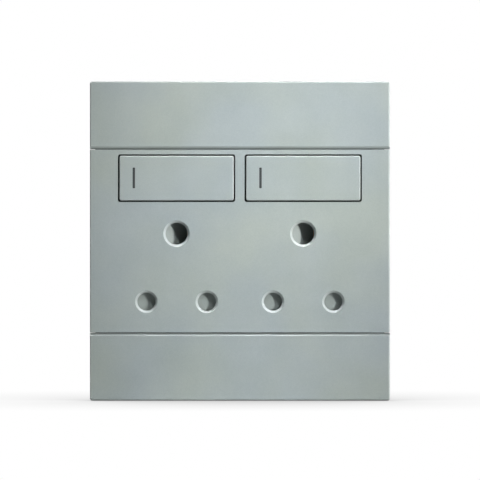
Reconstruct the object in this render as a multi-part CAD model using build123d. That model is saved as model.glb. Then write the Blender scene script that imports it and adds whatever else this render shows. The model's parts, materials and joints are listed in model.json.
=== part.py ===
from build123d import *
import math
import os

# Switched double socket for a square wall box, with two shuttered sets of three round pin entries.
# Millimetres. X runs to the right seen from the front, Y into the wall, Z up.
# The origin is the middle of the plate on the wall plane, so the front face is at negative Y.

# Front plate: a centre panel between two clip-on cover strips
PLATE_WIDTH = 126.0
PLATE_HEIGHT = 134.0
PROJECTION = 11.0
PANEL_HEIGHT = 76.8
SKIN = 2.4
SKIRT = 2.0
EDGE_RADIUS = 0.6
PLATE_CORNER = 0.9
SEAM_GAP = 0.3
SEAM_CHAMFER = 1.1
SEAM_WALL = 1.6
SEAM_WALL_DEPTH = 2.4
SEAM_WALL_ROOM = 1.0
WALL_GAP = 0.4

# Plug pattern: 16 A plug with three round pins
PIN_SPACING = 25.4
EARTH_RISE = 28.58
LINE_ROW_Z = -25.5
LINE_PIN = 7.05
EARTH_PIN = 8.7
LINE_PIN_LENGTH = 20.6
EARTH_PIN_LENGTH = 28.6
ENTRY_CLEARANCE = 0.275
ENTRY_CHAMFER = 0.95

# Rockers, level with the plate at rest, with a stem that leans to the off side
ROCKER_SPLIT = 5.2
ROCKER_HEIGHT = 18.75
ROCKER_Z = 26.4
ROCKER_GAP = 0.65
ROCKER_PROUD = 0.3
STEM_LEAN = 2.4
ROCKER_SIDE = 3.2
ROCKER_WALL = 1.4
ROCKER_CEILING = 1.8
ROCKER_EDGE = 0.4
ROCKER_CORNER = 0.8
ROCKER_RIB = 1.2
ROCKER_RIB_SPACING = 26.0
APERTURE_CORNER = 1.0
APERTURE_WALL = 1.2
APERTURE_DEPTH = 2.2
PIVOT_DEPTH = 4.6
TRUNNION_RADIUS = 1.25
TRUNNION_LENGTH = 3.3
BEARING_CLEARANCE = 0.05
STEM_WIDTH = 7.2
STEM_HEIGHT = 8.0
STEM_END = 1.5
STEM_ROOT = 0.6

# Sprung plunger in the rocker's stem
PLUNGER_RADIUS = 2.2
PLUNGER_CLEARANCE = 0.1
PLUNGER_NOSE = 1.6
PLUNGER_GUIDED = 3.5
PLUNGER_GAP = 0.15
COIL_RADIUS = 1.6
COIL_WIRE = 0.5
COIL_TURNS = 5
COIL_END_GAP = 0.1

# See-saw contact blade and its cradle
BLADE_ARM = 11.5
BLADE_WIDTH = 6.0
BLADE_FRONT = 1.8
BLADE_BACK = 0.2
BLADE_TILT = 7.5
KNIFE_RADIUS = 0.8
KNIFE_CLEARANCE = 0.05
TIP_RADIUS = 1.8
TIP_HEIGHT = 0.6
TIP_OFFSET = 9.6
CONTACT_CLEARANCE = 0.12
CRADLE_BASE = 1.0
CRADLE_LENGTH = 10.0
CRADLE_WEB = 1.0
CHEEK_LENGTH = 5.0
CHEEK = 1.0
CHEEK_RISE = 2.0
CHEEK_CLEARANCE = 0.3
STOP_RADIUS = 1.6
STOP_GAP = 0.25

# Strips that carry the current
STRIP = 1.2
LIVE_BAR_GAP = 1.2
LINK_WIDTH = 6.0
LINK_TIP_MARGIN = 0.6
BAR_WIDTH = 6.0
NEUTRAL_BAR_WIDTH = 4.0
NEUTRAL_BAR_GAP = 1.0
BAR_END = 3.4
EARTH_PAD_MARGIN = 1.5

# Split sleeves for the pins
SLEEVE_WALL = 1.0
SLEEVE_CLEARANCE = 0.03
SLEEVE_SLIT = 1.0
SLEEVE_BOTTOM = 1.0
PIN_END_ROOM = 0.4
SLEEVE_CHAMFER = 0.4
SLEEVE_SEAT_GAP = 0.4
EARTH_SLEEVE_FRONT = 0.0
TAIL_RADIUS = 2.0
TAIL_CLEARANCE = 0.02

# Terminals with a wire hole from behind and a clamp screw from the edge
TERMINAL_WIDTH = 9.0
TERMINAL_HEIGHT = 9.0
TERMINAL_EDGE_GAP = 0.3
TERMINAL_DEPTH = 8.5
WIRE_RADIUS = 2.2
WIRE_OFFSET = 3.3
WIRE_ENTRY_MARGIN = 0.9
WIRE_LEAD_IN = 0.6
BAR_WIRE_MARGIN = 0.5
CLAMP_RADIUS = 1.9
CLAMP_CLEARANCE = 0.05
CLAMP_HEAD_RADIUS = 2.6
CLAMP_HEAD = 1.6
CLAMP_SLOT = 0.7
CLAMP_BACKED_OFF = 0.3
CLAMP_ENTRY_MARGIN = 0.4

# Mounting frame on the wall
FRAME_THICKNESS = 2.6
FRAME_CLEARANCE = 0.2
FRAME_CORNER = 1.5
RAIL_WIDTH = 5.0
RAIL_WALL = 1.4
BOX_SCREW_SPACING = 83.5
BOX_SCREW_HOLE = 2.0
BOX_SCREW_PAD = 4.3
BOX_SCREW_PAD_RISE = 0.8
CATCH_X = 36.0
CATCH_INSET = 12.0
CATCH_WIDTH = 9.0
CATCH_THICKNESS = 2.0
CATCH_HEIGHT = 4.6
CATCH_WINDOW = 5.4
CATCH_SILL = 1.2
CATCH_OPENING = 2.2
SNAP_GAP = 0.2
SNAP_LEG = 1.6
SNAP_BARB = 0.8
SNAP_BARB_HEIGHT = 1.7
SNAP_SLACK = 0.2

# Base housing and the carrier in front of it
HOUSING_SIDE = 8.7
HOUSING_BACK = 24.0
HOUSING_WALL = 2.0
HOUSING_CORNER = 3.0
HOUSING_CLEARANCE = 0.3
FLANGE_ROOM = 0.8
FLANGE_LIP = 0.4
FLANGE = 1.6
CARRIER = 1.5
PILLAR_RADIUS = 4.0
LINK_PILLAR_RADIUS = 2.5
LINK_PILLAR_DROP = 7.4
RIB = 1.5
RIB_DROP = 11.0
RIB_CLEARANCE = 0.8
COLLAR_WALL = 1.2
COLLAR_CLEARANCE = 0.15
COLLAR_DEPTH = 5.2
CARRIER_PIN_MARGIN = 0.45
STEM_ROOM = 1.2
STEM_SIDE_ROOM = 0.6
EAR = 1.9
EAR_GAP = 1.2
EAR_WALL = 1.25
EAR_SNAP = 2.1

# Screws from the back of the frame into the panel
SCREW_STANDOFF = 4.0
SCREW_EDGE = 3.0
SCREW_HIGH_Z = 12.0
SCREW_LOW_EDGE = 2.8
SCREW_RADIUS = 1.4
SCREW_HOLE = 1.8
SCREW_FIT = 0.02
SCREW_HEAD_RADIUS = 2.7
SCREW_HEAD = 1.2
SCREW_HEAD_MARGIN = 0.2
SCREW_LENGTH = 9.2
SCREW_CROSS = 1.6
SCREW_SLOT = 0.7
BOSS_RADIUS = 2.8
BOSS_FLOOR = 1.4

# Sliding shutters
SHUTTER = 1.7
SHUTTER_BACK_GAP = 0.2
BLADE_MARGIN = 0.6
SHUTTER_BAR = 11.2
SHUTTER_RELIEF = 0.2
RAMP_ANGLE = 30.0
RAMP_TIP = 1.0
RAMP_SIDE_MARGIN = 0.4
SLOT_CLEARANCE = 0.3
GUIDE = 1.2
GUIDE_GAP = 0.2
GUIDE_HEIGHT = 1.5
LEAF = 0.35
LEAF_WIDTH = 1.2
LEAF_REACH = 13.6
LEAF_DROP = 13.0
LEAF_BEND = 2.5
LEAF_GAP = 0.25
LEAF_SEAT = 0.05
LEAF_TOP_GAP = 3.0
POST = 1.8
POST_SHORT = 2.0

# How far a cut runs past the face that it opens, and how near an edge counts as on a line
PAST = 1.0
NEAR = 0.1

# Places that follow from the sizes above
FRONT = -PROJECTION
SKIN_BACK = FRONT + SKIN
PANEL_EDGE = PANEL_HEIGHT / 2
STRIP_EDGE = PANEL_EDGE + SEAM_GAP
PLATE_EDGE = PLATE_HEIGHT / 2
FRAME_WIDTH = PLATE_WIDTH - 2 * (SKIRT + FRAME_CLEARANCE)
FRAME_HEIGHT = PLATE_HEIGHT - 2 * (SKIRT + FRAME_CLEARANCE)
RAIL_INNER = FRAME_WIDTH / 2 - RAIL_WIDTH
FLANGE_WIDTH = 2 * (RAIL_INNER - FLANGE_ROOM)
SCREW_X = FLANGE_WIDTH / 2 - SCREW_EDGE
HOUSING_WIDTH = 2 * (SCREW_X - SCREW_STANDOFF)
SOCKET_SPACING = HOUSING_WIDTH - PIN_SPACING - 2 * HOUSING_SIDE
SIDES = {"left": -SOCKET_SPACING / 2, "right": SOCKET_SPACING / 2}
ROCKER_WIDTH = SOCKET_SPACING - ROCKER_SPLIT
TERMINAL_TOP = PILLAR_RADIUS + NEUTRAL_BAR_GAP + NEUTRAL_BAR_WIDTH - LINE_ROW_Z
HOUSING_HEIGHT = 2 * (TERMINAL_TOP + TERMINAL_EDGE_GAP + HOUSING_WALL)
FLANGE_HEIGHT = HOUSING_HEIGHT + 2 * FLANGE_LIP
SCREW_LOW_Z = SCREW_LOW_EDGE - FLANGE_HEIGHT / 2
SEAM_WALL_HALF = RAIL_INNER - SEAM_WALL_ROOM
FLANGE_FRONT = -FRAME_THICKNESS - FLANGE
CARRIER_FRONT = FLANGE_FRONT - CARRIER
FLOOR = HOUSING_BACK - HOUSING_WALL
SHUTTER_BACK = CARRIER_FRONT - SHUTTER_BACK_GAP
SHUTTER_FRONT = SHUTTER_BACK - SHUTTER
EARTH_Z = LINE_ROW_Z + EARTH_RISE
LINE_ENTRY = LINE_PIN / 2 + ENTRY_CLEARANCE
EARTH_ENTRY = EARTH_PIN / 2 + ENTRY_CLEARANCE
LINE_BORE = LINE_PIN / 2 + SLEEVE_CLEARANCE
EARTH_BORE = EARTH_PIN / 2 + SLEEVE_CLEARANCE
LINE_SLEEVE = LINE_BORE + SLEEVE_WALL
LINE_SLEEVE_FRONT = FLANGE_FRONT + SLEEVE_SEAT_GAP
RAMP_LEFT = EARTH_ENTRY
RAMP_RIGHT = EARTH_PIN / 2
SHUTTER_TRAVEL = RAMP_RIGHT + EARTH_PIN / 2 + SHUTTER_RELIEF
PIVOT_Y = FRONT + PIVOT_DEPTH
LINK_DEPTH = FRONT + LINE_PIN_LENGTH + PIN_END_ROOM + SLEEVE_BOTTOM
LIVE_BAR_DEPTH = LINK_DEPTH + STRIP + LIVE_BAR_GAP
EARTH_BAR_DEPTH = FRONT + EARTH_PIN_LENGTH + PIN_END_ROOM + SLEEVE_BOTTOM
ROCKER_FACE = FRONT - ROCKER_PROUD
CONTACT_SWING = math.radians(BLADE_TILT)
TIP_REACH = (TIP_OFFSET + TIP_RADIUS) * math.sin(CONTACT_SWING)
TIP_STAND = (TIP_HEIGHT - BLADE_BACK) * math.cos(CONTACT_SWING)
KNIFE_Y = LINK_DEPTH - TIP_HEIGHT - CONTACT_CLEARANCE - TIP_REACH - TIP_STAND
PLUNGER_TIP = KNIFE_Y - BLADE_FRONT - PLUNGER_GAP
SCREWS = [(sx * SCREW_X, z) for sx in (-1, 1) for z in (SCREW_LOW_Z, SCREW_HIGH_Z)]
WIRE_Z = TERMINAL_TOP - TERMINAL_HEIGHT + WIRE_OFFSET
CATCH_Z = PLATE_EDGE - CATCH_INSET


def block(x0, x1, y0, y1, z0, z1):
    centre = Pos((x0 + x1) / 2, (y0 + y1) / 2, (z0 + z1) / 2)
    return centre * Box(abs(x1 - x0), abs(y1 - y0), abs(z1 - z0))


def prism(sketch, y0, y1):
    """A sketch drawn in X and Z, carried from y0 back to y1."""
    return extrude(Plane.XZ.offset(-y1) * sketch, y1 - y0)


def rod_y(x, z, radius, y0, y1):
    return prism(Pos(x, z) * Circle(radius), y0, y1)


def rod_z(x, y, radius, z0, z1):
    return Pos(x, y, (z0 + z1) / 2) * Cylinder(radius, z1 - z0)


def turned(solid, x, y, degrees):
    """Turn a solid about the upright line through x, y."""
    return Pos(x, y, 0) * Rot(0, 0, degrees) * Pos(-x, -y, 0) * solid


def line_pins(x):
    return {"neutral": x - PIN_SPACING / 2, "live": x + PIN_SPACING / 2}


def front_edges(solid):
    """The edges that lie wholly in the foremost plane."""
    return solid.edges().group_by(Axis.Y)[0]


def entry(x, z, radius):
    """A round pin entry with its lead-in."""
    mouth = Plane.XZ.offset(-FRONT) * Pos(x, z) * Circle(radius + ENTRY_CHAMFER)
    throat = Plane.XZ.offset(-FRONT - ENTRY_CHAMFER) * Pos(x, z) * Circle(radius)
    return rod_y(x, z, radius, FRONT - PAST, SKIN_BACK + PAST) + loft([mouth, throat])


def aperture(x, grow):
    width = ROCKER_WIDTH + 2 * (ROCKER_GAP + grow)
    height = ROCKER_HEIGHT + 2 * (ROCKER_GAP + grow)
    return Pos(x, ROCKER_Z) * RectangleRounded(width, height, APERTURE_CORNER + grow)


def centre_panel():
    half = PLATE_WIDTH / 2
    panel = block(-half, half, FRONT, -WALL_GAP, -PANEL_EDGE, PANEL_EDGE)
    panel = fillet([e for e in front_edges(panel) if abs(e.center().X) > half - NEAR], EDGE_RADIUS)
    inner = half - SKIRT
    panel -= block(-inner, inner, SKIN_BACK, 0, -PANEL_EDGE - PAST, PANEL_EDGE + PAST)
    depth = SKIN_BACK + SEAM_WALL_DEPTH
    for z in (PANEL_EDGE, SEAM_WALL - PANEL_EDGE):
        panel += block(-SEAM_WALL_HALF, SEAM_WALL_HALF, SKIN_BACK, depth, z - SEAM_WALL, z)
    for x in SIDES.values():
        panel += prism(aperture(x, APERTURE_WALL), SKIN_BACK, SKIN_BACK + APERTURE_DEPTH)
    for x, z in SCREWS:
        panel += rod_y(x, z, BOSS_RADIUS, SKIN_BACK, CARRIER_FRONT)
        panel -= rod_y(x, z, SCREW_RADIUS + SCREW_FIT, FRONT + BOSS_FLOOR, CARRIER_FRONT)
    for x in SIDES.values():
        panel -= prism(aperture(x, 0), FRONT - PAST, 0)
        panel -= entry(x, EARTH_Z, EARTH_ENTRY)
        for pin in line_pins(x).values():
            panel -= entry(pin, LINE_ROW_Z, LINE_ENTRY)
    return panel


def snap_leg(x):
    """A leg with a barb that catches in a window of the frame, for a strip at the top."""
    z = CATCH_Z + CATCH_THICKNESS / 2 + SNAP_GAP
    end = -FRAME_THICKNESS - SNAP_SLACK
    leg = block(x - CATCH_WIDTH / 2, x + CATCH_WIDTH / 2, SKIN_BACK, end, z, z + SNAP_LEG)
    heel = -FRAME_THICKNESS - CATCH_SILL - CATCH_OPENING + SNAP_SLACK
    barb = Plane.YZ.offset(x - CATCH_WINDOW / 2 + SNAP_SLACK) * Polygon(
        (heel, z), (heel, z - SNAP_BARB), (heel + SNAP_BARB_HEIGHT, z), align=None
    )
    return leg + extrude(barb, CATCH_WINDOW - 2 * SNAP_SLACK)


def top_cover_strip():
    half = PLATE_WIDTH / 2
    inner = half - SKIRT
    strip = block(-half, half, FRONT, -WALL_GAP, STRIP_EDGE, PLATE_EDGE)
    corners = [e for e in strip.edges().filter_by(Axis.Y) if e.center().Z > PLATE_EDGE - NEAR]
    strip = fillet(corners, PLATE_CORNER)
    outer = [e for e in front_edges(strip) if e.center().Z > STRIP_EDGE + NEAR]
    strip = fillet(outer, EDGE_RADIUS)
    corner = [(FRONT, STRIP_EDGE), (FRONT + SEAM_CHAMFER, STRIP_EDGE), (FRONT, STRIP_EDGE + SEAM_CHAMFER)]
    bevel = Plane.YZ.offset(-half) * Polygon(*corner, align=None)
    strip -= extrude(bevel, PLATE_WIDTH)
    strip -= block(-inner, inner, SKIN_BACK, 0, STRIP_EDGE - PAST, PLATE_EDGE - SKIRT)
    depth = SKIN_BACK + SEAM_WALL_DEPTH
    strip += block(-SEAM_WALL_HALF, SEAM_WALL_HALF, SKIN_BACK, depth, STRIP_EDGE, STRIP_EDGE + SEAM_WALL)
    for x in (-CATCH_X, CATCH_X):
        strip += snap_leg(x)
    return strip


def mounting_frame():
    outline = RectangleRounded(FRAME_WIDTH, FRAME_HEIGHT, FRAME_CORNER)
    room = HOUSING_CLEARANCE
    opening = RectangleRounded(HOUSING_WIDTH + 2 * room, HOUSING_HEIGHT + 2 * room, HOUSING_CORNER + room)
    frame = prism(outline, -FRAME_THICKNESS, 0)
    rails = outline - Rectangle(2 * RAIL_INNER, FRAME_HEIGHT + PAST)
    frame += prism(rails, SKIN_BACK, -FRAME_THICKNESS)
    groove = Rectangle(RAIL_WIDTH - 2 * RAIL_WALL, FRAME_HEIGHT - 2 * RAIL_WALL)
    for side in (-1, 1):
        x = side * (FRAME_WIDTH - RAIL_WIDTH) / 2
        frame -= prism(Pos(x, 0) * groove, SKIN_BACK + RAIL_WALL, PAST)
    for end in (-1, 1):
        z = end * BOX_SCREW_SPACING / 2
        frame += rod_y(0, z, BOX_SCREW_PAD, -FRAME_THICKNESS - BOX_SCREW_PAD_RISE, -FRAME_THICKNESS)
        frame -= rod_y(0, z, BOX_SCREW_HOLE, -PROJECTION, PAST)
        for x in (-CATCH_X, CATCH_X):
            frame += catch(x, end)
    for x, z in SCREWS:
        frame -= rod_y(x, z, SCREW_HOLE, -PROJECTION, PAST)
        seat = -SCREW_HEAD - SCREW_HEAD_MARGIN
        frame -= rod_y(x, z, SCREW_HEAD_RADIUS + SCREW_HEAD_MARGIN, seat, PAST)
    return frame - prism(opening, -PROJECTION, PAST)


def catch(x, end):
    """A windowed tab on the frame that a strip's snap leg hooks into."""
    z0 = end * CATCH_Z - CATCH_THICKNESS / 2
    z1 = end * CATCH_Z + CATCH_THICKNESS / 2
    foot = -FRAME_THICKNESS
    tab = block(x - CATCH_WIDTH / 2, x + CATCH_WIDTH / 2, foot - CATCH_HEIGHT, foot, z0, z1)
    sill = foot - CATCH_SILL
    half = CATCH_WINDOW / 2
    return tab - block(x - half, x + half, sill - CATCH_OPENING, sill, z0 - PAST, z1 + PAST)


def wire_entry(x, z):
    """A wire hole in the floor with a lead-in from behind."""
    radius = WIRE_RADIUS + WIRE_ENTRY_MARGIN
    throat = Plane.XZ.offset(WIRE_LEAD_IN - HOUSING_BACK) * Pos(x, z) * Circle(radius)
    mouth = Plane.XZ.offset(-HOUSING_BACK) * Pos(x, z) * Circle(radius + WIRE_LEAD_IN)
    return rod_y(x, z, radius, FLOOR - PAST, HOUSING_BACK + PAST) + loft([throat, mouth])


def base_housing():
    wall = HOUSING_WALL
    outer = RectangleRounded(HOUSING_WIDTH, HOUSING_HEIGHT, HOUSING_CORNER)
    inner = RectangleRounded(HOUSING_WIDTH - 2 * wall, HOUSING_HEIGHT - 2 * wall, HOUSING_CORNER - wall / 2)
    flange = RectangleRounded(FLANGE_WIDTH, FLANGE_HEIGHT, HOUSING_CORNER)
    housing = prism(outer, FLANGE_FRONT, HOUSING_BACK)
    housing = chamfer(housing.edges().group_by(Axis.Y)[-1], wall / 2)
    housing += prism(flange, FLANGE_FRONT, -FRAME_THICKNESS)
    housing -= prism(inner, FLANGE_FRONT - PAST, FLOOR)
    rib_top = LINK_DEPTH + STRIP + RIB_CLEARANCE
    rib_z = ROCKER_Z - RIB_DROP
    half = HOUSING_WIDTH / 2 - wall
    housing += block(-half, half, rib_top, FLOOR, rib_z - RIB / 2, rib_z + RIB / 2)
    for x in SIDES.values():
        pins = line_pins(x)
        for pin in pins.values():
            housing += rod_y(pin, LINE_ROW_Z, PILLAR_RADIUS, LINK_DEPTH + STRIP, FLOOR)
        housing += rod_y(x, EARTH_Z, PILLAR_RADIUS, EARTH_BAR_DEPTH + STRIP, FLOOR)
        housing += rod_y(x, ROCKER_Z, PILLAR_RADIUS, LIVE_BAR_DEPTH + STRIP, FLOOR)
        link_z = ROCKER_Z - LINK_PILLAR_DROP
        housing += rod_y(pins["live"], link_z, LINK_PILLAR_RADIUS, LINK_DEPTH + STRIP, FLOOR)
    for x, z in SCREWS:
        housing -= rod_y(x, z, SCREW_HOLE, FLANGE_FRONT - PAST, 0)
    for x, end, _, y in terminals().values():
        housing -= wire_entry(x, end * WIRE_Z)
        top = sorted((end * (TERMINAL_TOP - PAST), end * HOUSING_HEIGHT))
        housing -= rod_z(x, y, CLAMP_HEAD_RADIUS + CLAMP_ENTRY_MARGIN, *top)
    return housing


def inner_carrier():
    outline = RectangleRounded(FLANGE_WIDTH, FLANGE_HEIGHT, HOUSING_CORNER)
    carrier = prism(outline, CARRIER_FRONT, FLANGE_FRONT)
    for x in SIDES.values():
        for pin in line_pins(x).values():
            inside = 2 * (LINE_SLEEVE + COLLAR_CLEARANCE)
            outside = inside + 2 * COLLAR_WALL
            collar = Rectangle(outside, outside) - Rectangle(inside, inside)
            carrier += prism(Pos(pin, LINE_ROW_Z) * collar, FLANGE_FRONT, FLANGE_FRONT + COLLAR_DEPTH)
            hole = LINE_PIN / 2 + CARRIER_PIN_MARGIN
            carrier -= rod_y(pin, LINE_ROW_Z, hole, CARRIER_FRONT - PAST, FLANGE_FRONT)
        carrier -= ramp_slot(x)
        room_x = STEM_WIDTH / 2 + STEM_ROOM
        room_z = STEM_HEIGHT / 2 + STEM_SIDE_ROOM
        room = Pos(x, ROCKER_Z) * Rectangle(2 * room_x, 2 * room_z)
        carrier -= prism(room, CARRIER_FRONT - PAST, FLANGE_FRONT + PAST)
        carrier += bearing_ears(x)
        carrier -= bearing_bores(x)
        carrier += shutter_guides(x)
        carrier += blade_stop(x)
    for x, z in SCREWS:
        carrier -= rod_y(x, z, SCREW_HOLE, CARRIER_FRONT - PAST, FLANGE_FRONT + PAST)
    return carrier


def ramp_slot(x):
    """The slot in the carrier that the shutter's ramp travels in."""
    half = EARTH_ENTRY + RAMP_SIDE_MARGIN + SLOT_CLEARANCE
    left = x - RAMP_LEFT - SHUTTER_TRAVEL - SLOT_CLEARANCE
    right = x + RAMP_RIGHT + SLOT_CLEARANCE
    return block(left, right, CARRIER_FRONT - PAST, FLANGE_FRONT + PAST, EARTH_Z - half, EARTH_Z + half)


def ear_spans():
    """The two spans along Z that the bearing ears of a rocker take."""
    near = STEM_HEIGHT / 2 + EAR_GAP
    far = near + EAR
    return [(ROCKER_Z - far, ROCKER_Z - near), (ROCKER_Z + near, ROCKER_Z + far)]


def bearing_ears(x):
    """Two bearings for the rocker's trunnions."""
    radius = TRUNNION_RADIUS + BEARING_CLEARANCE + EAR_WALL
    ears = []
    for z0, z1 in ear_spans():
        ears.append(block(x - radius, x + radius, PIVOT_Y, FLANGE_FRONT, z0, z1))
        ears.append(rod_z(x, PIVOT_Y, radius, z0, z1))
    return ears


def bearing_bores(x):
    """The bores of the bearings, open at the front so that the trunnions snap in."""
    radius = TRUNNION_RADIUS + BEARING_CLEARANCE
    bores = []
    for z0, z1 in ear_spans():
        bores.append(rod_z(x, PIVOT_Y, radius, z0 - EAR_GAP / 2, z1 + EAR_GAP / 2))
        bores.append(block(x - EAR_SNAP / 2, x + EAR_SNAP / 2, FRONT, PIVOT_Y, z0, z1))
    return bores


def shutter_guides(x):
    """Ribs above and below the shutter's bar, its closing stop and the posts of its leaf spring."""
    back = CARRIER_FRONT
    front = back - GUIDE_HEIGHT
    half = SHUTTER_BAR / 2 + GUIDE_GAP
    end = shutter_half() + GUIDE_GAP
    low, high = LINE_ROW_Z - half, LINE_ROW_Z + half
    ribs = block(x - end, x + end + GUIDE, front, back, low - GUIDE, low)
    ribs += block(x + RAMP_RIGHT + GUIDE, x + end + GUIDE, front, back, high, high + GUIDE)
    ribs += block(x + end, x + end + GUIDE, front, back, low, high)
    leaf_x = x - RAMP_LEFT - LEAF_GAP - LEAF_REACH
    top = leaf_top()
    outer = leaf_x - LEAF / 2 - LEAF_SEAT
    ribs += block(outer - POST, outer, front, back, top - LEAF_DROP, top)
    inner = leaf_x + LEAF / 2 + LEAF_SEAT
    low = top - LEAF_DROP
    return ribs + block(inner, inner + POST, front, back, low, low + POST_SHORT)


def blade_stop(x):
    """A peg that stops the blade's raised arm when the switch is off."""
    rise = TIP_OFFSET * math.sin(CONTACT_SWING) + BLADE_FRONT * math.cos(CONTACT_SWING)
    lean = STOP_RADIUS * math.sin(CONTACT_SWING)
    end = KNIFE_Y - rise - lean - STOP_GAP
    return rod_y(x + TIP_OFFSET, ROCKER_Z, STOP_RADIUS, FLANGE_FRONT, end)


def shutter_half():
    return PIN_SPACING / 2 + LINE_ENTRY + BLADE_MARGIN


def leaf_top():
    return EARTH_Z - EARTH_ENTRY - RAMP_SIDE_MARGIN - SLOT_CLEARANCE - LEAF_TOP_GAP


def shutter(x):
    """A sliding shutter: a barred plate over the line entries and a ramp behind the earth entry."""
    half = shutter_half()
    side = EARTH_ENTRY + RAMP_SIDE_MARGIN
    window = LINE_ENTRY + BLADE_MARGIN / 2
    plate = Pos(x, LINE_ROW_Z) * RectangleRounded(2 * half, SHUTTER_BAR, BLADE_MARGIN)
    window_x = x - PIN_SPACING / 2 + SHUTTER_TRAVEL
    plate -= Pos(window_x, LINE_ROW_Z) * Circle(window)
    stem_low = LINE_ROW_Z + window
    stem_high = EARTH_Z - side
    stem_x = x + (RAMP_RIGHT - RAMP_LEFT) / 2
    stem = Pos(stem_x, (stem_low + stem_high) / 2) * Rectangle(RAMP_LEFT + RAMP_RIGHT, stem_high - stem_low)
    plate += stem - Pos(window_x, LINE_ROW_Z) * Circle(window)
    solid = prism(plate, SHUTTER_FRONT, SHUTTER_BACK)
    drop = (RAMP_LEFT + RAMP_RIGHT) * math.tan(math.radians(RAMP_ANGLE))
    back = SHUTTER_FRONT + drop + RAMP_TIP
    ramp = Plane.XY.offset(EARTH_Z - side) * Polygon(
        (x - RAMP_LEFT, SHUTTER_FRONT),
        (x + RAMP_RIGHT, back - RAMP_TIP),
        (x + RAMP_RIGHT, back),
        (x - RAMP_LEFT, back),
        align=None,
    )
    return solid + extrude(ramp, 2 * side)


def shutter_spring(x):
    """A hairpin leaf spring between the carrier's posts and the shutter's stem."""
    tip_x = x - RAMP_LEFT - LEAF_GAP - LEAF / 2
    back_x = x - RAMP_LEFT - LEAF_GAP - LEAF_REACH
    top = leaf_top()
    low = top - LEAF_DROP
    route = FilletPolyline((back_x, low), (back_x, top), (tip_x, low), radius=LEAF_BEND)
    back = CARRIER_FRONT - LEAF_SEAT
    return prism(trace(route, LEAF), back - LEAF_WIDTH, back)


def rocker(x):
    """A hollow rocker with two trunnions and a leaning stem for the plunger."""
    back = ROCKER_FACE + ROCKER_SIDE
    ceiling = ROCKER_FACE + ROCKER_CEILING
    place = Pos(x, ROCKER_Z)
    shell = prism(place * RectangleRounded(ROCKER_WIDTH, ROCKER_HEIGHT, ROCKER_CORNER), ROCKER_FACE, back)
    shell = fillet(front_edges(shell), ROCKER_EDGE)
    hollow = Rectangle(ROCKER_WIDTH - 2 * ROCKER_WALL, ROCKER_HEIGHT - 2 * ROCKER_WALL)
    shell -= prism(place * hollow, ceiling, back + PAST)
    inside = ROCKER_HEIGHT / 2 - ROCKER_WALL
    for side in (-1, 1):
        rib_x = x + side * ROCKER_RIB_SPACING / 2
        low, high = ROCKER_Z - inside, ROCKER_Z + inside
        shell += block(rib_x - ROCKER_RIB / 2, rib_x + ROCKER_RIB / 2, ceiling, back, low, high)
    stem = prism(place * Rectangle(STEM_WIDTH, STEM_HEIGHT), ceiling - STEM_ROOT, STEM_END)
    shell += turned(stem, x, PIVOT_Y, STEM_LEAN)
    reach = STEM_HEIGHT / 2 + TRUNNION_LENGTH
    shell += rod_z(x, PIVOT_Y, TRUNNION_RADIUS, ROCKER_Z - reach, ROCKER_Z + reach)
    bore = rod_y(x, ROCKER_Z, PLUNGER_RADIUS + PLUNGER_CLEARANCE, ceiling, STEM_END + PAST)
    return shell - turned(bore, x, PIVOT_Y, STEM_LEAN)


def plunger(x):
    """A round plunger with a domed nose, guided in the rocker's stem."""
    back = STEM_END - PLUNGER_GUIDED
    nose_y = PLUNGER_TIP - PLUNGER_NOSE
    shoulder = nose_y - (PLUNGER_RADIUS - PLUNGER_NOSE)
    body = rod_y(x, ROCKER_Z, PLUNGER_RADIUS, back, shoulder)
    wide = Plane.XZ.offset(-shoulder) * Pos(x, ROCKER_Z) * Circle(PLUNGER_RADIUS)
    narrow = Plane.XZ.offset(-nose_y) * Pos(x, ROCKER_Z) * Circle(PLUNGER_NOSE)
    body += loft([wide, narrow])
    body += Pos(x, nose_y, ROCKER_Z) * Sphere(PLUNGER_NOSE)
    return turned(body, x, PIVOT_Y, STEM_LEAN)


def plunger_spring(x):
    """A short coil of square wire between the stem's bore and the plunger."""
    front = ROCKER_FACE + ROCKER_CEILING + COIL_END_GAP + COIL_WIRE / 2
    back = STEM_END - PLUNGER_GUIDED - COIL_END_GAP - COIL_WIRE / 2
    height = back - front
    path = Helix(height / COIL_TURNS, height, COIL_RADIUS)
    section = Plane(path @ 0, z_dir=path % 0) * Rectangle(COIL_WIRE, COIL_WIRE)
    coil = sweep(section, path, is_frenet=True)
    coil = Pos(x, front, ROCKER_Z) * Rot(-90, 0, 0) * coil
    return turned(coil, x, PIVOT_Y, STEM_LEAN)


def contact_blade(x):
    """A see-saw blade with a groove that rocks on the cradle's knife edge."""
    half = BLADE_WIDTH / 2
    front, back = KNIFE_Y - BLADE_FRONT, KNIFE_Y - BLADE_BACK
    blade = block(x - BLADE_ARM, x + BLADE_ARM, front, back, ROCKER_Z - half, ROCKER_Z + half)
    past = half + PAST
    blade -= rod_z(x, KNIFE_Y, KNIFE_RADIUS + KNIFE_CLEARANCE, ROCKER_Z - past, ROCKER_Z + past)
    return turned(blade, x, KNIFE_Y, -BLADE_TILT)


def moving_contact(x):
    back = KNIFE_Y - BLADE_BACK
    tip = rod_y(x + TIP_OFFSET, ROCKER_Z, TIP_RADIUS, back, back + TIP_HEIGHT)
    return turned(tip, x, KNIFE_Y, -BLADE_TILT)


def fixed_contact(x):
    return rod_y(x + TIP_OFFSET, ROCKER_Z, TIP_RADIUS, LINK_DEPTH - TIP_HEIGHT, LINK_DEPTH)


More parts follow.
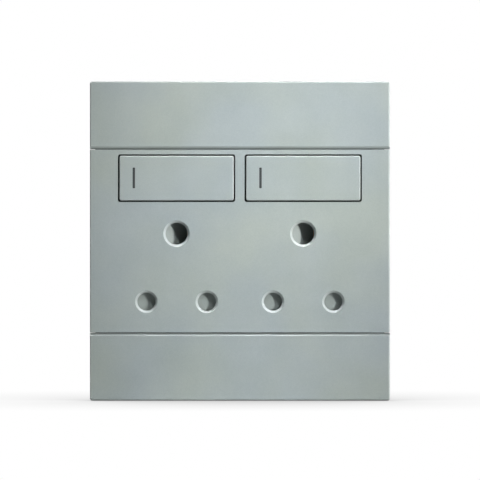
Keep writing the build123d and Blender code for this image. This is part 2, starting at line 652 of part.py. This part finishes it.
def blade_cradle(x):
    """A knife edge on a web, between two cheeks that keep the blade in line."""
    base_front = LIVE_BAR_DEPTH - CRADLE_BASE
    inside = BLADE_WIDTH / 2
    cheek_in = inside + CHEEK_CLEARANCE
    cheek_out = cheek_in + CHEEK
    long, web = CRADLE_LENGTH / 2, CRADLE_WEB / 2
    cradle = block(x - long, x + long, base_front, LIVE_BAR_DEPTH, ROCKER_Z - cheek_out, ROCKER_Z + cheek_out)
    cradle += block(x - web, x + web, KNIFE_Y, base_front, ROCKER_Z - inside, ROCKER_Z + inside)
    cradle += rod_z(x, KNIFE_Y, KNIFE_RADIUS, ROCKER_Z - inside, ROCKER_Z + inside)
    for end in (-1, 1):
        z0, z1 = sorted((ROCKER_Z + end * cheek_in, ROCKER_Z + end * cheek_out))
        cradle += block(x - CHEEK_LENGTH / 2, x + CHEEK_LENGTH / 2, KNIFE_Y - CHEEK_RISE, base_front, z0, z1)
    return cradle


def live_link(x):
    """The strip from a switch's fixed contact down to the live sleeve."""
    live = line_pins(x)["live"]
    half = LINK_WIDTH / 2
    strip = Pos(live, (ROCKER_Z + LINE_ROW_Z) / 2) * Rectangle(LINK_WIDTH, ROCKER_Z - LINE_ROW_Z + 2 * half)
    strip += Pos(live, LINE_ROW_Z) * Circle(PILLAR_RADIUS)
    left = x + TIP_OFFSET - TIP_RADIUS - LINK_TIP_MARGIN
    strip += Pos((left + live + half) / 2, ROCKER_Z) * Rectangle(live + half - left, LINK_WIDTH)
    strip -= Pos(live, LINE_ROW_Z) * Circle(TAIL_RADIUS + TAIL_CLEARANCE)
    return prism(strip, LINK_DEPTH, LINK_DEPTH + STRIP)


def live_bar():
    """The feed strip that carries both cradles and the live terminal."""
    half = SOCKET_SPACING / 2 + BAR_END
    tab = Pos(0, (ROCKER_Z + TERMINAL_TOP) / 2) * Rectangle(TERMINAL_WIDTH, TERMINAL_TOP - ROCKER_Z)
    strip = Pos(0, ROCKER_Z) * Rectangle(2 * half, BAR_WIDTH) + tab
    strip -= Pos(0, WIRE_Z) * Circle(WIRE_RADIUS + BAR_WIRE_MARGIN)
    return prism(strip, LIVE_BAR_DEPTH, LIVE_BAR_DEPTH + STRIP)


def neutral_bar():
    """The strip below the neutral sleeves, with a tab up to each and one for the terminal."""
    left, right = (line_pins(x)["neutral"] for x in SIDES.values())
    low = -TERMINAL_TOP
    high = low + NEUTRAL_BAR_WIDTH
    middle = (left + right) / 2
    strip = Pos(middle, (low + high) / 2) * Rectangle(right - left + 2 * PILLAR_RADIUS, NEUTRAL_BAR_WIDTH)
    for pin in (left, right):
        strip += Pos(pin, (low + LINE_ROW_Z) / 2) * Rectangle(2 * PILLAR_RADIUS, LINE_ROW_Z - low)
        strip += Pos(pin, LINE_ROW_Z) * Circle(PILLAR_RADIUS)
        strip -= Pos(pin, LINE_ROW_Z) * Circle(TAIL_RADIUS + TAIL_CLEARANCE)
    tab_x = SIDES["left"]
    strip += Pos(tab_x, low + TERMINAL_HEIGHT / 2) * Rectangle(TERMINAL_WIDTH, TERMINAL_HEIGHT)
    strip -= Pos(tab_x, -WIRE_Z) * Circle(WIRE_RADIUS + BAR_WIRE_MARGIN)
    return prism(strip, LINK_DEPTH, LINK_DEPTH + STRIP)


def earth_bar():
    """The strip behind both earth sleeves, with a leg down to the earth terminal."""
    left, right = SIDES["left"], SIDES["right"]
    low = -TERMINAL_TOP
    strip = Pos(0, EARTH_Z) * Rectangle(right - left, BAR_WIDTH)
    strip += Pos(right, (low + EARTH_Z) / 2) * Rectangle(BAR_WIDTH, EARTH_Z - low)
    strip += Pos(right, low + TERMINAL_HEIGHT / 2) * Rectangle(TERMINAL_WIDTH, TERMINAL_HEIGHT)
    for x in (left, right):
        strip += Pos(x, EARTH_Z) * Circle(PILLAR_RADIUS + EARTH_PAD_MARGIN)
        strip -= Pos(x, EARTH_Z) * Circle(TAIL_RADIUS + TAIL_CLEARANCE)
    strip -= Pos(right, -WIRE_Z) * Circle(WIRE_RADIUS + BAR_WIRE_MARGIN)
    return prism(strip, EARTH_BAR_DEPTH, EARTH_BAR_DEPTH + STRIP)


def sleeve(x, z, bore, front, back):
    """A turned sleeve with a blind bore, two slits and a tail riveted through its strip."""
    outer = bore + SLEEVE_WALL
    floor = back - SLEEVE_BOTTOM
    tube = rod_y(x, z, outer, front, back)
    tube -= rod_y(x, z, bore, front - PAST, floor)
    mouth = [e for e in front_edges(tube) if e.radius < bore + SLEEVE_WALL / 2]
    tube = chamfer(mouth, SLEEVE_CHAMFER)
    slit_end = floor - SLEEVE_BOTTOM
    past = outer + PAST
    tube -= block(x - SLEEVE_SLIT / 2, x + SLEEVE_SLIT / 2, front - PAST, slit_end, z - past, z + past)
    return tube + rod_y(x, z, TAIL_RADIUS, back, back + STRIP)


def line_sleeve(x, which):
    return sleeve(line_pins(x)[which], LINE_ROW_Z, LINE_BORE, LINE_SLEEVE_FRONT, LINK_DEPTH)


def earth_sleeve(x):
    return sleeve(x, EARTH_Z, EARTH_BORE, EARTH_SLEEVE_FRONT, EARTH_BAR_DEPTH)


def terminals():
    """Each terminal's x, the end of the housing it lies at, its depths, and its clamp screw's depth."""
    places = {
        "live": (0.0, 1, LIVE_BAR_DEPTH),
        "neutral": (SIDES["left"], -1, LINK_DEPTH),
        "earth": (SIDES["right"], -1, EARTH_BAR_DEPTH),
    }
    return {
        which: (x, end, (bar - TERMINAL_DEPTH, bar), bar - TERMINAL_DEPTH / 2)
        for which, (x, end, bar) in places.items()
    }


def terminal(which):
    """A brass block with a wire hole from behind and a threaded hole from the edge."""
    x, end, (y0, y1), clamp_y = terminals()[which]
    z0, z1 = sorted((end * (TERMINAL_TOP - TERMINAL_HEIGHT), end * TERMINAL_TOP))
    body = block(x - TERMINAL_WIDTH / 2, x + TERMINAL_WIDTH / 2, y0, y1, z0, z1)
    body -= rod_y(x, end * WIRE_Z, WIRE_RADIUS, y0 - PAST, y1 + PAST)
    thread = sorted((end * WIRE_Z, end * (TERMINAL_TOP + PAST)))
    return body - rod_z(x, clamp_y, CLAMP_RADIUS + CLAMP_CLEARANCE, *thread)


def clamp_screw(which):
    """A slotted clamp screw, backed off from the wire."""
    x, end, _, y = terminals()[which]
    tip = WIRE_Z + WIRE_RADIUS + CLAMP_BACKED_OFF
    under = TERMINAL_TOP + CLAMP_BACKED_OFF
    head = under + CLAMP_HEAD
    screw = rod_z(x, y, CLAMP_RADIUS, *sorted((end * tip, end * under)))
    cap = rod_z(x, y, CLAMP_HEAD_RADIUS, *sorted((end * under, end * head)))
    z0, z1 = sorted((end * (head - CLAMP_HEAD / 2), end * (head + PAST)))
    wide = CLAMP_HEAD_RADIUS + PAST
    return screw + cap - block(x - wide, x + wide, y - CLAMP_SLOT / 2, y + CLAMP_SLOT / 2, z0, z1)


def housing_screw(x, z):
    """A flat-headed screw sunk in the back of the frame, with a cross slot."""
    seat = -SCREW_HEAD_MARGIN
    head = rod_y(x, z, SCREW_HEAD_RADIUS, seat - SCREW_HEAD, seat)
    screw = head + rod_y(x, z, SCREW_RADIUS, seat - SCREW_LENGTH, seat - SCREW_HEAD)
    for half_x, half_z in ((SCREW_CROSS, SCREW_SLOT / 2), (SCREW_SLOT / 2, SCREW_CROSS)):
        screw -= block(x - half_x, x + half_x, seat - SCREW_HEAD / 2, seat + PAST, z - half_z, z + half_z)
    return screw


def paired():
    """Every piece that the left and right sides both have."""
    pieces = {}
    for side, x in SIDES.items():
        pieces[f"rocker_{side}"] = rocker(x)
        pieces[f"plunger_{side}"] = plunger(x)
        pieces[f"plunger_spring_{side}"] = plunger_spring(x)
        pieces[f"contact_blade_{side}"] = contact_blade(x)
        pieces[f"moving_contact_{side}"] = moving_contact(x)
        pieces[f"fixed_contact_{side}"] = fixed_contact(x)
        pieces[f"blade_cradle_{side}"] = blade_cradle(x)
        pieces[f"live_link_{side}"] = live_link(x)
        pieces[f"live_sleeve_{side}"] = line_sleeve(x, "live")
        pieces[f"neutral_sleeve_{side}"] = line_sleeve(x, "neutral")
        pieces[f"earth_sleeve_{side}"] = earth_sleeve(x)
        pieces[f"shutter_{side}"] = shutter(x)
        pieces[f"shutter_spring_{side}"] = shutter_spring(x)
    return pieces


def single():
    top = top_cover_strip()
    pieces = {
        "centre_panel": centre_panel(),
        "top_cover_strip": top,
        "bottom_cover_strip": Rot(0, 180, 0) * top,
        "mounting_frame": mounting_frame(),
        "base_housing": base_housing(),
        "inner_carrier": inner_carrier(),
        "live_bar": live_bar(),
        "neutral_bar": neutral_bar(),
        "earth_bar": earth_bar(),
    }
    for which in terminals():
        pieces[f"{which}_terminal"] = terminal(which)
    pieces["terminal_screws"] = Compound([clamp_screw(which).solid() for which in terminals()])
    pieces["housing_screws"] = Compound([housing_screw(x, z).solid() for x, z in SCREWS])
    return pieces


os.makedirs("parts", exist_ok=True)
for name, piece in {**single(), **paired()}.items():
    export_step(piece, f"parts/{name}.step")
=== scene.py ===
import json
import math

import bmesh
import bpy
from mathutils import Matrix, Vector


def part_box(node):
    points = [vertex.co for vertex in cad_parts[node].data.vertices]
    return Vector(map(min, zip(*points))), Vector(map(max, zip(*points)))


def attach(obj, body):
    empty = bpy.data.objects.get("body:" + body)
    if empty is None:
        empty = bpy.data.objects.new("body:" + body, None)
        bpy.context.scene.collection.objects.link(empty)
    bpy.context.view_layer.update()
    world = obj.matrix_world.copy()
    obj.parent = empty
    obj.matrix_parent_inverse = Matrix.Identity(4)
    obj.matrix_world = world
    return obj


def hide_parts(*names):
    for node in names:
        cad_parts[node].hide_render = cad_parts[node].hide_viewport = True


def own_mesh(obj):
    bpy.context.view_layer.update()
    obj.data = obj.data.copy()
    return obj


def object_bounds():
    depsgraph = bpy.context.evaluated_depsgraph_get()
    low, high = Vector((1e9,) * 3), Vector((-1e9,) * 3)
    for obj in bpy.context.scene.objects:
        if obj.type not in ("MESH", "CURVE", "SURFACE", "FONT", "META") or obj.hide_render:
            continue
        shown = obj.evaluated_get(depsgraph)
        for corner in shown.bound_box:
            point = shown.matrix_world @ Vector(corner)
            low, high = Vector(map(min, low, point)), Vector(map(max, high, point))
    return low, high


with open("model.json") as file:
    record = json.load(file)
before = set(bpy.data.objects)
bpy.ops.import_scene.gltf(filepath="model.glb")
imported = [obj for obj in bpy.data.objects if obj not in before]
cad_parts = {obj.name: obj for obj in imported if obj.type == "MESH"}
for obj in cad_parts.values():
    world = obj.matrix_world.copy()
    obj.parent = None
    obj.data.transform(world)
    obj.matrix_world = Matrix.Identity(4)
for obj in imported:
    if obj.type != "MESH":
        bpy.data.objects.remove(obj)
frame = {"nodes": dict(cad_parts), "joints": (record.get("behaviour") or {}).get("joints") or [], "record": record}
CAD_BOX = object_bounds()

# Camera: level and square to the plate, from far enough away that little converges.
IMAGE_PX = 480
PLATE_PX = 300.0
PLATE_CENTRE_PX = (239.9, 241.0)
CAMERA_DISTANCE = 2.2
SENSOR_MM = 36.0
CLIP_NEAR = 0.05
CLIP_FAR = 20

# The on mark of each rocker, in metres from the middle of its face.
MARK_OFFSET = -0.01795
MARK_RISE = 0.0001
MARK_WIDTH = 0.0010
MARK_HEIGHT = 0.0087
MARK_PROUD = 0.00003
MARK_RADIUS = MARK_WIDTH / 4
MARK_CORNER_STEPS = 8
MARK_CORNERS = ((1, 1), (-1, 1), (-1, -1), (1, -1))

# Lights: degrees to the right and up from straight ahead, distance, aim on the plate,
# side, beam in degrees, power, colour.
LIGHTS = {
    "key_right": (50, 8, 1.13, (0.020, 0.070), 0.10, 24, 0.215, (1.0, 0.99, 0.97)),
    "key_top": (24, 46, 1.20, (0.003, 0.009), 0.10, 10, 0.0152, (0.97, 0.99, 1.0)),
    "key_overhead": (22, 75, 0.90, (0.010, -0.032), 0.12, 10, 0.042, (1.0, 1.0, 1.0)),
    "fill_behind_right": (140, 30, 1.20, (0.0, 0.0), 0.60, 180, 7.0, (1.0, 1.0, 1.0)),
    "fill_behind_left": (-140, 30, 1.20, (0.0, 0.0), 0.60, 180, 5.0, (1.0, 1.0, 1.0)),
}

# World: white where it is seen, and a faint light on the object.
WHITE = (1, 1, 1, 1)
SEEN_STRENGTH = 1.0
WORLD_LIGHT = 0.015

# Floor: it looks white, and darkens within the shadow's reach of what stands on it.
FLOOR_SIDE = 6.0
FLOOR_GAP = 0.0002
FLOOR_COLOUR = (0.5, 0.5, 0.5, 1)
FLOOR_CORNERS = ((-1, -1), (1, -1), (1, 1), (-1, 1))
SHADOW_REACH = 0.14
SHADOW_DEPTH = 0.7
SHADOW_SAMPLES = 32

# Finish of each material slot and of the printed mark: colour, roughness, metallic,
# specular level, grain size, grain strength, drift of the colour.
FINISH = {
    "front_plastic": ((0.431, 0.491, 0.486), 0.48, 0.0, 0.35, 0.00040, 0.12, 0.09),
    "rocker_plastic": ((0.441, 0.502, 0.497), 0.36, 0.0, 0.35, 0.00040, 0.10, 0.09),
    "shutter_plastic": ((0.425, 0.475, 0.460), 0.55, 0.0, 0.10, 0.00040, 0.06, 0.07),
    "frame_plastic": ((0.200, 0.220, 0.225), 0.60, 0.0, 0.35, 0.00050, 0.12, 0.10),
    "housing_plastic": ((0.620, 0.620, 0.590), 0.55, 0.0, 0.35, 0.00060, 0.10, 0.06),
    "carrier_plastic": ((0.060, 0.065, 0.065), 0.60, 0.0, 0.20, 0.00050, 0.10, 0.10),
    "plunger_plastic": ((0.760, 0.760, 0.720), 0.40, 0.0, 0.35, 0.00050, 0.04, 0.04),
    "brass": ((0.720, 0.530, 0.220), 0.32, 1.0, 0.50, 0.00020, 0.05, 0.12),
    "contact_silver": ((0.800, 0.800, 0.780), 0.28, 1.0, 0.50, 0.00020, 0.04, 0.08),
    "spring_steel": ((0.560, 0.560, 0.570), 0.30, 1.0, 0.50, 0.00015, 0.04, 0.10),
    "screw_steel": ((0.580, 0.580, 0.560), 0.34, 1.0, 0.50, 0.00020, 0.06, 0.10),
    "mark": ((0.045, 0.050, 0.054), 0.55, 0.0, 0.35, 0.00030, 0.05, 0.10),
}

# The grain: its detail, its depth as a share of its size, and how far the roughness swings with it.
GRAIN_DETAIL = 3.0
GRAIN_DEPTH = 0.25
ROUGHNESS_SWING = 0.06

# The drift of the base colour: broad patches per metre, their detail, how much of the grain is mixed in,
# the noise levels of its dark and light end, and how far these lean to cool and to warm.
DRIFT_PATCHES = 45.0
DRIFT_DETAIL = 4.0
DRIFT_GRAIN_SHARE = 0.45
DRIFT_ENDS = (0.3, 0.7)
DRIFT_LEAN = (0.012, 0.0, -0.012)

# Painted highlight on the moulded edges: how far each finish turns pale there, and towards which colour.
PAINTED_EDGE_HIGHLIGHT = {"front_plastic": 0.36, "rocker_plastic": 0.50}
EDGE_HIGHLIGHT_COLOUR = (0.80, 0.86, 0.85, 1)
# An edge is a face that leans off straight ahead: share of the normal along Y, and how much it counts.
EDGE_LEAN = ((0.10, 0), (0.30, 1), (0.97, 1), (0.995, 0))

# Uneven ageing: the front drifts between a cooler and a warmer grey, in patches per metre.
AGEING_PATCHES = 28.0
AGEING_DETAIL = 2.0
AGEING_COOL = (0.985, 0.995, 1.035, 1)
AGEING_WARM = (1.005, 1.005, 0.965, 1)
AGEING_STOPS = ((0.35, AGEING_COOL), (0.65, AGEING_WARM))

# Painted shade darkens the walls of gaps and entries: how near a facing wall is, the open shares between which
# the painted shade fades, and what colour is left where it is darkest.
RECESS_REACH = 0.004
RECESS_OPEN = (0.15, 0.65)
RECESS_SHADE_COLOUR = (0.42, 0.42, 0.42, 1)
RECESS_SAMPLES = 16


def add_object(name, data):
    """A new object in the scene."""
    thing = bpy.data.objects.new(name, data)
    bpy.context.scene.collection.objects.link(thing)
    return thing


def feed(tree, value, socket):
    """Link a node's output to the socket, or set a plain value on it."""
    if isinstance(value, bpy.types.NodeSocket):
        tree.links.new(value, socket)
    else:
        socket.default_value = value


def mix_colours(tree, factor, first, second, blend="MIX"):
    """Two colours in one. Each of them, and the factor, is a node's output or a plain value."""
    mix = tree.nodes.new("ShaderNodeMix")
    mix.data_type = "RGBA"
    mix.blend_type = blend
    feed(tree, factor, mix.inputs["Factor"])
    feed(tree, first, mix.inputs["A"])
    feed(tree, second, mix.inputs["B"])
    return mix.outputs["Result"]


def noise(tree, place, scale, detail):
    """Noise in space, with so many patches per metre."""
    texture = tree.nodes.new("ShaderNodeTexNoise")
    texture.inputs["Scale"].default_value = scale
    texture.inputs["Detail"].default_value = detail
    tree.links.new(place, texture.inputs["Vector"])
    return texture.outputs["Fac"]


def colour_ramp(tree, value, stops):
    """The colour at a value, blended between stops of a position and a colour each."""
    ramp = tree.nodes.new("ShaderNodeValToRGB")
    elements = ramp.color_ramp.elements
    while len(elements) < len(stops):
        elements.new(1.0)
    for element, (position, colour) in zip(elements, stops):
        element.position = position
        element.color = colour
    tree.links.new(value, ramp.inputs["Fac"])
    return ramp.outputs["Color"]


def map_range(tree, value, source=(0, 1), target=(0, 1)):
    """The value, carried from one range to another and held within it."""
    carried = tree.nodes.new("ShaderNodeMapRange")
    for side, start, end in zip(("Min", "Max"), source, target):
        carried.inputs[f"From {side}"].default_value = start
        carried.inputs[f"To {side}"].default_value = end
    tree.links.new(value, carried.inputs["Value"])
    return carried.outputs["Result"]


def open_share(tree, reach, samples):
    """How much of the space within reach of the surface is open."""
    occlusion = tree.nodes.new("ShaderNodeAmbientOcclusion")
    occlusion.inputs["Distance"].default_value = reach
    occlusion.samples = samples
    return occlusion.outputs["AO"]


def uneven_ageing(tree, shade, place):
    """The shade, leaning to a cooler or a warmer grey from patch to patch."""
    patches = noise(tree, place, AGEING_PATCHES, AGEING_DETAIL)
    lean = colour_ramp(tree, patches, AGEING_STOPS)
    return mix_colours(tree, 1.0, shade, lean, "MULTIPLY")


def painted_edge_highlight(tree, shade, normal, highlight_strength):
    """The shade, with a painted highlight: paler on the chamfers and rounded edges between the front and the
    sides.
    """
    parts = tree.nodes.new("ShaderNodeSeparateXYZ")
    tree.links.new(normal, parts.inputs["Vector"])
    ahead = tree.nodes.new("ShaderNodeMath")
    ahead.operation = "ABSOLUTE"
    tree.links.new(parts.outputs["Y"], ahead.inputs[0])
    stops = [(lean, (counts * highlight_strength, counts * highlight_strength, counts * highlight_strength, 1)) for lean, counts in EDGE_LEAN]
    edge = colour_ramp(tree, ahead.outputs["Value"], stops)
    return mix_colours(tree, edge, shade, EDGE_HIGHLIGHT_COLOUR)


def painted_recess_shade(tree, shade):
    """The shade, with painted shade darkening it where walls face each other closely."""
    open_part = map_range(tree, open_share(tree, RECESS_REACH, RECESS_SAMPLES), source=RECESS_OPEN)
    darkening = mix_colours(tree, open_part, RECESS_SHADE_COLOUR, WHITE)
    return mix_colours(tree, 1.0, shade, darkening, "MULTIPLY")


def drift_stops(colour, drift):
    """The dark and the light end of a base colour's drift, as stops of a ramp."""
    stops = []
    for position, sign in zip(DRIFT_ENDS, (-1, 1)):
        channels = [min(1, c * (1 + sign * (drift + lean))) for c, lean in zip(colour, DRIFT_LEAN)]
        stops.append((position, (*channels, 1)))
    return stops


def finish_material(name):
    """A base colour that drifts slightly over the surface, with a fine moulded or drawn grain."""
    colour, roughness, metallic, specular, grain, strength, drift = FINISH[name]
    material = bpy.data.materials.new(name)
    material.use_nodes = True
    tree = material.node_tree
    shader = tree.nodes["Principled BSDF"]
    shader.inputs["Metallic"].default_value = metallic
    shader.inputs["Specular IOR Level"].default_value = specular
    where = tree.nodes.new("ShaderNodeTexCoord")
    place = where.outputs["Object"]
    fine = noise(tree, place, 1.0 / grain, GRAIN_DETAIL)
    broad = noise(tree, place, DRIFT_PATCHES, DRIFT_DETAIL)
    both = tree.nodes.new("ShaderNodeMix")
    both.data_type = "FLOAT"
    both.inputs["Factor"].default_value = DRIFT_GRAIN_SHARE
    tree.links.new(broad, both.inputs["A"])
    tree.links.new(fine, both.inputs["B"])
    shade = colour_ramp(tree, both.outputs["Result"], drift_stops(colour, drift))
    if name in PAINTED_EDGE_HIGHLIGHT:
        shade = uneven_ageing(tree, shade, place)
        # Painted highlight on the edges of the front mouldings.
        shade = painted_edge_highlight(tree, shade, where.outputs["Normal"], PAINTED_EDGE_HIGHLIGHT[name])
        # Painted shade in the gaps and entries.
        shade = painted_recess_shade(tree, shade)
    tree.links.new(shade, shader.inputs["Base Color"])
    swing = (roughness - ROUGHNESS_SWING, roughness + ROUGHNESS_SWING)
    tree.links.new(map_range(tree, fine, target=swing), shader.inputs["Roughness"])
    bump = tree.nodes.new("ShaderNodeBump")
    bump.inputs["Strength"].default_value = strength
    bump.inputs["Distance"].default_value = grain * GRAIN_DEPTH
    tree.links.new(fine, bump.inputs["Height"])
    tree.links.new(bump.outputs["Normal"], shader.inputs["Normal"])
    return material


def dress_nodes():
    """Give every CAD node its slot's finish."""
    for part in frame["record"]["subparts"]:
        node = frame["nodes"][part["node"]]
        node.data.materials.clear()
        node.data.materials.append(MATERIALS[part["material_slot"]])


def mark_outline():
    """The mark's outline about its own centre: a bar with rounded corners, as X and Z."""
    outline = []
    for quarter, (right, up) in enumerate(MARK_CORNERS):
        for step in range(MARK_CORNER_STEPS + 1):
            angle = math.radians(90 * quarter + 90 * step / MARK_CORNER_STEPS)
            x = right * (MARK_WIDTH / 2 - MARK_RADIUS) + MARK_RADIUS * math.cos(angle)
            z = up * (MARK_HEIGHT / 2 - MARK_RADIUS) + MARK_RADIUS * math.sin(angle)
            outline.append((x, z))
    return outline


def on_mark(side):
    """A slim bar with rounded corners, lying on the rocker's face near its marked end."""
    low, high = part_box(f"rocker_{side}")
    centre = Vector(((low.x + high.x) / 2 + MARK_OFFSET, low.y, (low.z + high.z) / 2 + MARK_RISE))
    outline = mark_outline()
    shape = bmesh.new()
    back = [shape.verts.new((centre.x + x, centre.y + MARK_PROUD, centre.z + z)) for x, z in outline]
    front = [shape.verts.new((centre.x + x, centre.y - MARK_PROUD, centre.z + z)) for x, z in outline]
    shape.faces.new(front)
    shape.faces.new(list(reversed(back)))
    for i in range(len(outline)):
        j = (i + 1) % len(outline)
        shape.faces.new((back[i], back[j], front[j], front[i]))
    bmesh.ops.recalc_face_normals(shape, faces=shape.faces)
    mesh = bpy.data.meshes.new(f"on_mark_{side}")
    shape.to_mesh(mesh)
    shape.free()
    mark = add_object(f"on_mark_{side}", mesh)
    mesh.materials.append(MATERIALS["mark"])
    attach(mark, f"rocker_{side}")


def add_springs():
    """A copy of each deforming spring's mesh on the body that holds it, in place of the spring itself."""
    bodies = frame["record"]["behaviour"]["bodies"]
    for joint in frame["joints"]:
        for entry in joint.get("deforming_nodes", []):
            name = entry["node"]
            mesh = frame["nodes"][name].data.copy()
            spring = add_object(f"moving_{name}", mesh)
            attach(spring, next(body for body, members in bodies.items() if name in members))
            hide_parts(name)
            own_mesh(spring)


def add_lights():
    """Square lamps around the plate, each turned to its aim."""
    for name, (right, up, distance, (aim_x, aim_z), side, beam, power, colour) in LIGHTS.items():
        light = bpy.data.lights.new(name, "AREA")
        light.size = side
        light.spread = math.radians(beam)
        light.energy = power
        light.color = colour
        lamp = add_object(name, light)
        azimuth, elevation = math.radians(right), math.radians(up)
        level = math.cos(elevation)
        way = Vector((math.sin(azimuth) * level, -math.cos(azimuth) * level, math.sin(elevation)))
        lamp.location = way * distance
        aim = Vector((aim_x, 0, aim_z)) - lamp.location
        lamp.rotation_euler = aim.to_track_quat("-Z", "Y").to_euler()


def seen_white(tree):
    """One for rays that see the surroundings directly, in a reflection or through glass, else zero."""
    path = tree.nodes.new("ShaderNodeLightPath")
    seen = path.outputs["Is Camera Ray"]
    for name in ("Is Glossy Ray", "Is Transmission Ray"):
        either = tree.nodes.new("ShaderNodeMath")
        either.operation = "MAXIMUM"
        tree.links.new(seen, either.inputs[0])
        tree.links.new(path.outputs[name], either.inputs[1])
        seen = either.outputs["Value"]
    return seen


def add_world():
    """A white background that lights the object only faintly."""
    world = bpy.data.worlds.new("studio")
    bpy.context.scene.world = world
    world.use_nodes = True
    tree = world.node_tree
    background = tree.nodes["Background"]
    background.inputs["Color"].default_value = WHITE
    strength = map_range(tree, seen_white(tree), target=(WORLD_LIGHT, SEEN_STRENGTH))
    tree.links.new(strength, background.inputs["Strength"])


def floor_material():
    """White where it is seen, but for a soft shadow, and matt grey for the light that it throws back."""
    material = bpy.data.materials.new("floor")
    material.use_nodes = True
    tree = material.node_tree
    tree.nodes.remove(tree.nodes["Principled BSDF"])
    matt = tree.nodes.new("ShaderNodeBsdfDiffuse")
    matt.inputs["Color"].default_value = FLOOR_COLOUR
    white = tree.nodes.new("ShaderNodeEmission")
    share = open_share(tree, SHADOW_REACH, SHADOW_SAMPLES)
    strength = map_range(tree, share, target=(1 - SHADOW_DEPTH, SEEN_STRENGTH))
    tree.links.new(strength, white.inputs["Strength"])
    mix = tree.nodes.new("ShaderNodeMixShader")
    tree.links.new(seen_white(tree), mix.inputs["Fac"])
    tree.links.new(matt.outputs["BSDF"], mix.inputs[1])
    tree.links.new(white.outputs["Emission"], mix.inputs[2])
    tree.links.new(mix.outputs["Shader"], tree.nodes["Material Output"].inputs["Surface"])
    return material


def add_floor():
    """A pale floor just under the plate's lower edge."""
    half = FLOOR_SIDE / 2
    z = CAD_BOX[0].z - FLOOR_GAP
    corners = [(x * half, y * half, z) for x, y in FLOOR_CORNERS]
    mesh = bpy.data.meshes.new("floor")
    mesh.from_pydata(corners, [], [(0, 1, 2, 3)])
    floor = add_object("floor", mesh)
    mesh.materials.append(floor_material())


def add_camera():
    """The photograph's view: the plate's middle and width come out at their pixels."""
    low, high = CAD_BOX
    per_px = (high.x - low.x) / PLATE_PX
    x = (low.x + high.x) / 2 + (IMAGE_PX / 2 - PLATE_CENTRE_PX[0]) * per_px
    z = (low.z + high.z) / 2 + (PLATE_CENTRE_PX[1] - IMAGE_PX / 2) * per_px
    data = bpy.data.cameras.new("camera")
    data.sensor_width = SENSOR_MM
    data.lens = SENSOR_MM * CAMERA_DISTANCE / (per_px * IMAGE_PX)
    data.clip_start = CLIP_NEAR
    data.clip_end = CLIP_FAR
    camera = add_object("camera", data)
    camera.location = (x, low.y - CAMERA_DISTANCE, z)
    camera.rotation_euler = (math.radians(90), 0, 0)
    bpy.context.scene.camera = camera


MATERIALS = {name: finish_material(name) for name in FINISH}
dress_nodes()
for side in ("left", "right"):
    on_mark(side)
add_springs()
add_lights()
add_world()
add_floor()
add_camera()
bpy.context.scene.view_settings.view_transform = "Standard"
